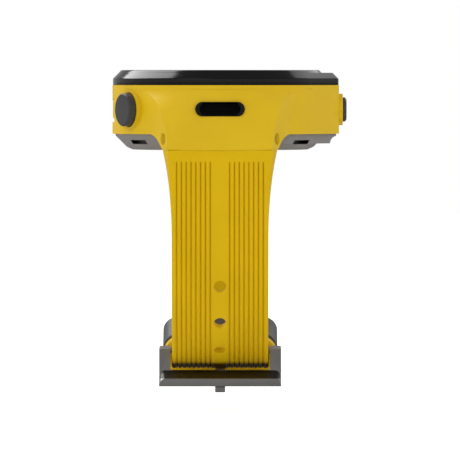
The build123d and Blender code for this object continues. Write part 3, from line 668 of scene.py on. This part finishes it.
def makeFrontStrap():
    k = holeSet
    shells = [strapBody(frontPath, strapSet["tipRound"]), lugTongue(1)]
    strap = pieceFrom("frontStrapRubber", *joinShells(shells), "strapYellow")
    angles = [k["first"] + k["pitch"] * number for number in range(k["count"])] + list(k["tail"])
    cutters = [holeCutter(angle, 0.0) for angle in angles] + [holeCutter(k["pinned"], k["stretch"])]
    cutWith(strap, pieceFrom("strapHoles", *joinShells(cutters), "strapYellow"))
    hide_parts("front_strap")
    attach(strap, "case")


rearSet = {
    "pivotOut": 1.4,
    "pivotDrop": 20.7,
    "barrel": 1.2,
    "pinHole": 0.65,
    "notchHalf": 1.2,
    "notchRadius": 1.5,
    "barrelInset": 0.1,         # of the barrels' outer ends, from the strap's edges
}


def makeRearStrap():
    k = rearSet
    shells = [strapBody(rearPath, 0.0), lugTongue(-1)]
    strap = pieceFrom("rearStrapRubber", *joinShells(shells), "strapYellow")
    turn = np.linspace(0, 2 * math.pi, 48, endpoint=False)
    notch = []
    for x in (-k["notchHalf"], k["notchHalf"]):
        y = k["pivotOut"] + k["notchRadius"] * np.sin(turn)
        z = -k["pivotDrop"] - k["notchRadius"] * np.cos(turn)
        notch.append(np.stack([np.full_like(turn, x), y, z], -1))
    cutter = pieceFrom("tangNotch", np.concatenate(notch), tubeFaces(2, turn.size), "strapYellow")
    cutWith(strap, cutter)
    outer = np.full(56, k["barrel"])
    barrels = []
    for side in (-1, 1):
        ends = sorted((side * k["notchHalf"], side * (strapSet["half"] - k["barrelInset"])))
        barrels.append(ringBar(*ends, k["pivotOut"], -k["pivotDrop"], outer, k["pinHole"]))
    loops = pieceFrom("rearStrapLoops", *joinShells(barrels), "strapYellow")
    for piece in (strap, loops):
        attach(piece, "case")
    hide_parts("rear_strap")


# start and width are degrees round the loop
fixedKeeperSet = {"outerHalf": 11.9, "wall": 1.2, "corner": 3.4, "start": 75.0, "width": 9.5, "round": 0.4}
slidingKeeperSet = {
    "outerHalf": 12.08, "wall": 1.45, "corner": 3.8, "start": 49.3, "width": 21.7, "round": 0.45,
}
keeperInner = {"half": 10.15, "low": 19.6, "high": 24.45, "corner": 0.3, "edge": 0.12, "centre": 2.35}


# Rectangle with rounded corners, as (x, radius) points: each side, then its corner arc.
def roundedLoop(half, low, high, corner, arcSteps=12, sideSteps=10):
    loop = []
    middle = (low + high) / 2
    tall = (high - low) / 2
    spots = ((half - corner, middle + tall - corner), (-half + corner, middle + tall - corner),
             (-half + corner, middle - tall + corner), (half - corner, middle - tall + corner))
    for number, (cx, cr) in enumerate(spots):
        turn = math.pi / 2 * number + np.linspace(0, math.pi / 2, arcSteps)
        arc = np.stack([cx + corner * np.cos(turn), cr + corner * np.sin(turn)], -1)
        after = spots[(number + 1) % 4]
        begin = np.array(after) + corner * np.array([math.cos(turn[-1]), math.sin(turn[-1])])
        share = np.linspace(0, 1, sideSteps + 1)[1:-1, None]
        loop += [arc, arc[-1] + (begin - arc[-1]) * share]
    return np.concatenate(loop)


# Closed band: a thin section with rounded outer edges carried round the loop.
#
# The loop lies in a plane through the bend's centre, and the section's width is an angle
# about that centre.
def makeKeeper(name, node, look, finish, body):
    low, high, edge = keeperInner["low"], keeperInner["high"], keeperInner["edge"]
    inner = roundedLoop(keeperInner["half"], low, high, keeperInner["corner"])
    outer = roundedLoop(look["outerHalf"], low - look["wall"], high + look["wall"], look["corner"])
    step = outer - inner
    thick = np.linalg.norm(step, axis=1, keepdims=True)
    away = step / thick
    radius = look["round"]
    middle = (low + high) / 2
    halfWidth = math.radians(look["width"] / 2) * middle
    bow = np.linspace(0, math.pi / 2, 6)
    face = thick[0, 0]
    rise = np.concatenate([[edge, 0.0, 0.0, edge], face - radius + radius * np.sin(bow), [face],
                           face - radius + radius * np.sin(bow[::-1])])
    wide = np.concatenate([[-halfWidth, -halfWidth + edge, halfWidth - edge, halfWidth],
                           halfWidth - radius + radius * np.cos(bow), [0.0],
                           -halfWidth + radius - radius * np.cos(bow[::-1])])
    lift = rise / face
    place = inner[:, None, :] + away[:, None, :] * (thick[:, None, :] * lift[None, :, None])
    turn = math.radians(look["start"] + look["width"] / 2) + wide / middle
    x = place[..., 0]
    y = keeperInner["centre"] + place[..., 1] * np.cos(turn)
    z = -place[..., 1] * np.sin(turn)
    rows, cols = x.shape
    points = np.stack([x, y, z], -1).reshape(-1, 3)
    piece = pieceFrom(name, points, gridFaces(rows, cols, wrapRows=True), finish, 50)
    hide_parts(node)
    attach(piece, body)


bezelSet = {
    "seam": 35.0,
    "height": 3.15,
    "shelf": 2.59,
    "chamfer": 1.23,
    "radius": 22.45,
    "guardReach": 24.75,
    "guardFlat": 2.8,
    "guardRound": 2.0,
    "rim": 21.25,
    "rimChamfer": 0.56,
    "lens": 17.98,
    "seatDepth": 1.9,
    "seatInner": 16.8,
    "soft": 0.16,               # rounding of the visible edges
    "step": 0.02,               # least width of the shelf
    "around": 720,
}


# Radius of the outline at each angle: the circle, or the tangent guard where it is further.
def guardOutline(turn):
    k = bezelSet
    corner = k["guardReach"] - k["guardRound"]
    flat = np.abs(np.sin(turn))
    out = np.cos(turn)
    middle = math.hypot(corner, k["guardFlat"])
    lean = math.atan2(k["guardFlat"], corner) + math.acos((k["radius"] - k["guardRound"]) / middle)
    line = k["radius"] / np.maximum(np.cos(np.abs(turn) - lean), tiny)
    along = out * corner + flat * k["guardFlat"]
    arc = along + np.sqrt(np.clip(along ** 2 - middle ** 2 + k["guardRound"] ** 2, 0, None))
    face = k["guardReach"] / np.maximum(out, tiny)
    tangentAt = math.atan2(k["guardFlat"] + k["guardRound"] * math.sin(lean),
                           corner + k["guardRound"] * math.cos(lean))
    faceAt = math.atan2(k["guardFlat"], k["guardReach"])
    wide = np.abs(turn)
    return np.select([wide < faceAt, wide < tangentAt, wide < lean], [face, arc, line], k["radius"])


# Profile with each of its corners rounded: corners are (rows, points, 2), and the curve
# near a corner is a parabola between the points one rounding away on its two sides.
def roundedProfile(corners, soft, steps=5):
    before = np.roll(corners, 1, axis=1) - corners
    after = np.roll(corners, -1, axis=1) - corners
    reachBefore = np.linalg.norm(before, axis=-1, keepdims=True)
    reachAfter = np.linalg.norm(after, axis=-1, keepdims=True)
    first = corners + before / np.maximum(reachBefore, 1e-9) * np.minimum(soft, 0.45 * reachBefore)
    last = corners + after / np.maximum(reachAfter, 1e-9) * np.minimum(soft, 0.45 * reachAfter)
    t = np.linspace(0, 1, steps)[None, None, :, None]
    curve = (1 - t) ** 2 * first[:, :, None] + 2 * t * (1 - t) * corners[:, :, None]
    curve = curve + t ** 2 * last[:, :, None]
    return curve.reshape(len(corners), -1, 2)


# Gloss bezel: a profile of wall, slope, shelf, rim and lens seat, turned about the middle.
#
# The wall follows the outline with the guard, and the rim stays round.
def makeBezel():
    k = bezelSet
    turn = np.linspace(-math.pi, math.pi, k["around"], endpoint=False)
    outline = guardOutline(turn)
    seam, top, shelf = k["seam"], k["seam"] + k["height"], k["seam"] + k["shelf"]
    shelfEdge = outline - k["chamfer"]
    rimFoot = np.full_like(turn, k["rim"])
    onSlope = shelfEdge < rimFoot + k["step"]
    footEdge = np.where(onSlope, rimFoot, shelfEdge)
    footHigh = np.where(onSlope, shelf - (rimFoot - shelfEdge), shelf)
    innerFoot = np.where(onSlope, rimFoot - k["step"], rimFoot)
    innerHigh = np.where(onSlope, footHigh + k["step"], shelf)
    level = np.full_like(turn, top)
    lensEdge = np.full_like(turn, k["lens"])
    seatIn = np.full_like(turn, k["seatInner"])
    seat = level - k["seatDepth"]
    corners = np.stack([
        np.stack([outline, np.full_like(turn, seam)], -1),
        np.stack([outline, np.full_like(turn, shelf - k["chamfer"])], -1),
        np.stack([footEdge, footHigh], -1),
        np.stack([innerFoot, innerHigh], -1),
        np.stack([rimFoot - np.where(onSlope, k["step"], 0.0), level - k["rimChamfer"]], -1),
        np.stack([rimFoot - k["rimChamfer"], level], -1),
        np.stack([lensEdge, level], -1),
        np.stack([lensEdge, seat], -1),
        np.stack([seatIn, seat], -1),
        np.stack([seatIn, np.full_like(turn, seam)], -1),
    ], 1)
    profile = roundedProfile(corners, k["soft"])
    radius, z = profile[..., 0], profile[..., 1]
    points = np.stack([radius * np.cos(turn)[:, None], radius * np.sin(turn)[:, None], z], -1)
    rows, cols = radius.shape
    faces = gridFaces(rows, cols, wrapRows=True)
    piece = pieceFrom("bezelShell", points.reshape(-1, 3), faces, "bezelBlack", 35)
    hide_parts("bezel")
    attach(piece, "case")


softEdges = {
    # node: rounding in mm
    "buckle_frame": 0.16,
    "buckle_tang": 0.16,
    "left_button_cap": 0.16,
    "right_button_cap": 0.12,
    "back_cover": 0.12,
    "case_body": 0.14,
    "socket_rim": 0.12,
    "side_key": 0.12,
}
softenSet = {
    "merge": 0.0005,            # millimetres
    "flat": 0.4,                # degrees: joins faces that are nearly in one plane
    "sharp": 32,                # degrees: edges sharper than this are rounded
    "segments": 3,
}


# Copy of a hard piece whose sharp edges are rounded by a small bevel.
def softenNode(node, width):
    k = softenSet
    source = frame["nodes"][node]
    data = source.data.copy()
    work = bmesh.new()
    work.from_mesh(data)
    bmesh.ops.remove_doubles(work, verts=work.verts, dist=k["merge"] * mm)
    flat = math.radians(k["flat"])
    bmesh.ops.dissolve_limit(work, angle_limit=flat, verts=work.verts, edges=work.edges)
    work.to_mesh(data)
    work.free()
    piece = bpy.data.objects.new(node + "Soft", data)
    bpy.context.collection.objects.link(piece)
    bevel = piece.modifiers.new("softEdge", "BEVEL")
    bevel.width = width * mm
    bevel.segments = k["segments"]
    bevel.limit_method = "ANGLE"
    bevel.angle_limit = math.radians(k["sharp"])
    bevel.use_clamp_overlap = True
    smooth(data, k["sharp"])
    data.materials.clear()
    data.materials.append(finishes[nodeFinish[node]])
    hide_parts(node)
    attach(piece, bodyOf[node])


bodies = frame["record"]["behaviour"]["bodies"]
bodyOf = {node: body for body, names in bodies.items() for node in names}

makeCamera()
makeSky()
makeFloor()
for name, (place, size, watts) in softboxes.items():
    areaLight(name, place, (0, 0, 0), size, watts)
dressFrame()
bpy.context.scene.view_settings.view_transform = "Standard"
print("stage and finishes ready")
makeFrontStrap()
makeRearStrap()
print("straps ready")
makeKeeper("fixedKeeperBand", "fixed_keeper", fixedKeeperSet, "strapYellow", "case")
makeKeeper("slidingKeeperBand", "sliding_keeper", slidingKeeperSet, "keeperGrey", "slider")
makeBezel()
for node, width in softEdges.items():
    softenNode(node, width)
print("keepers, bezel and soft edges ready")
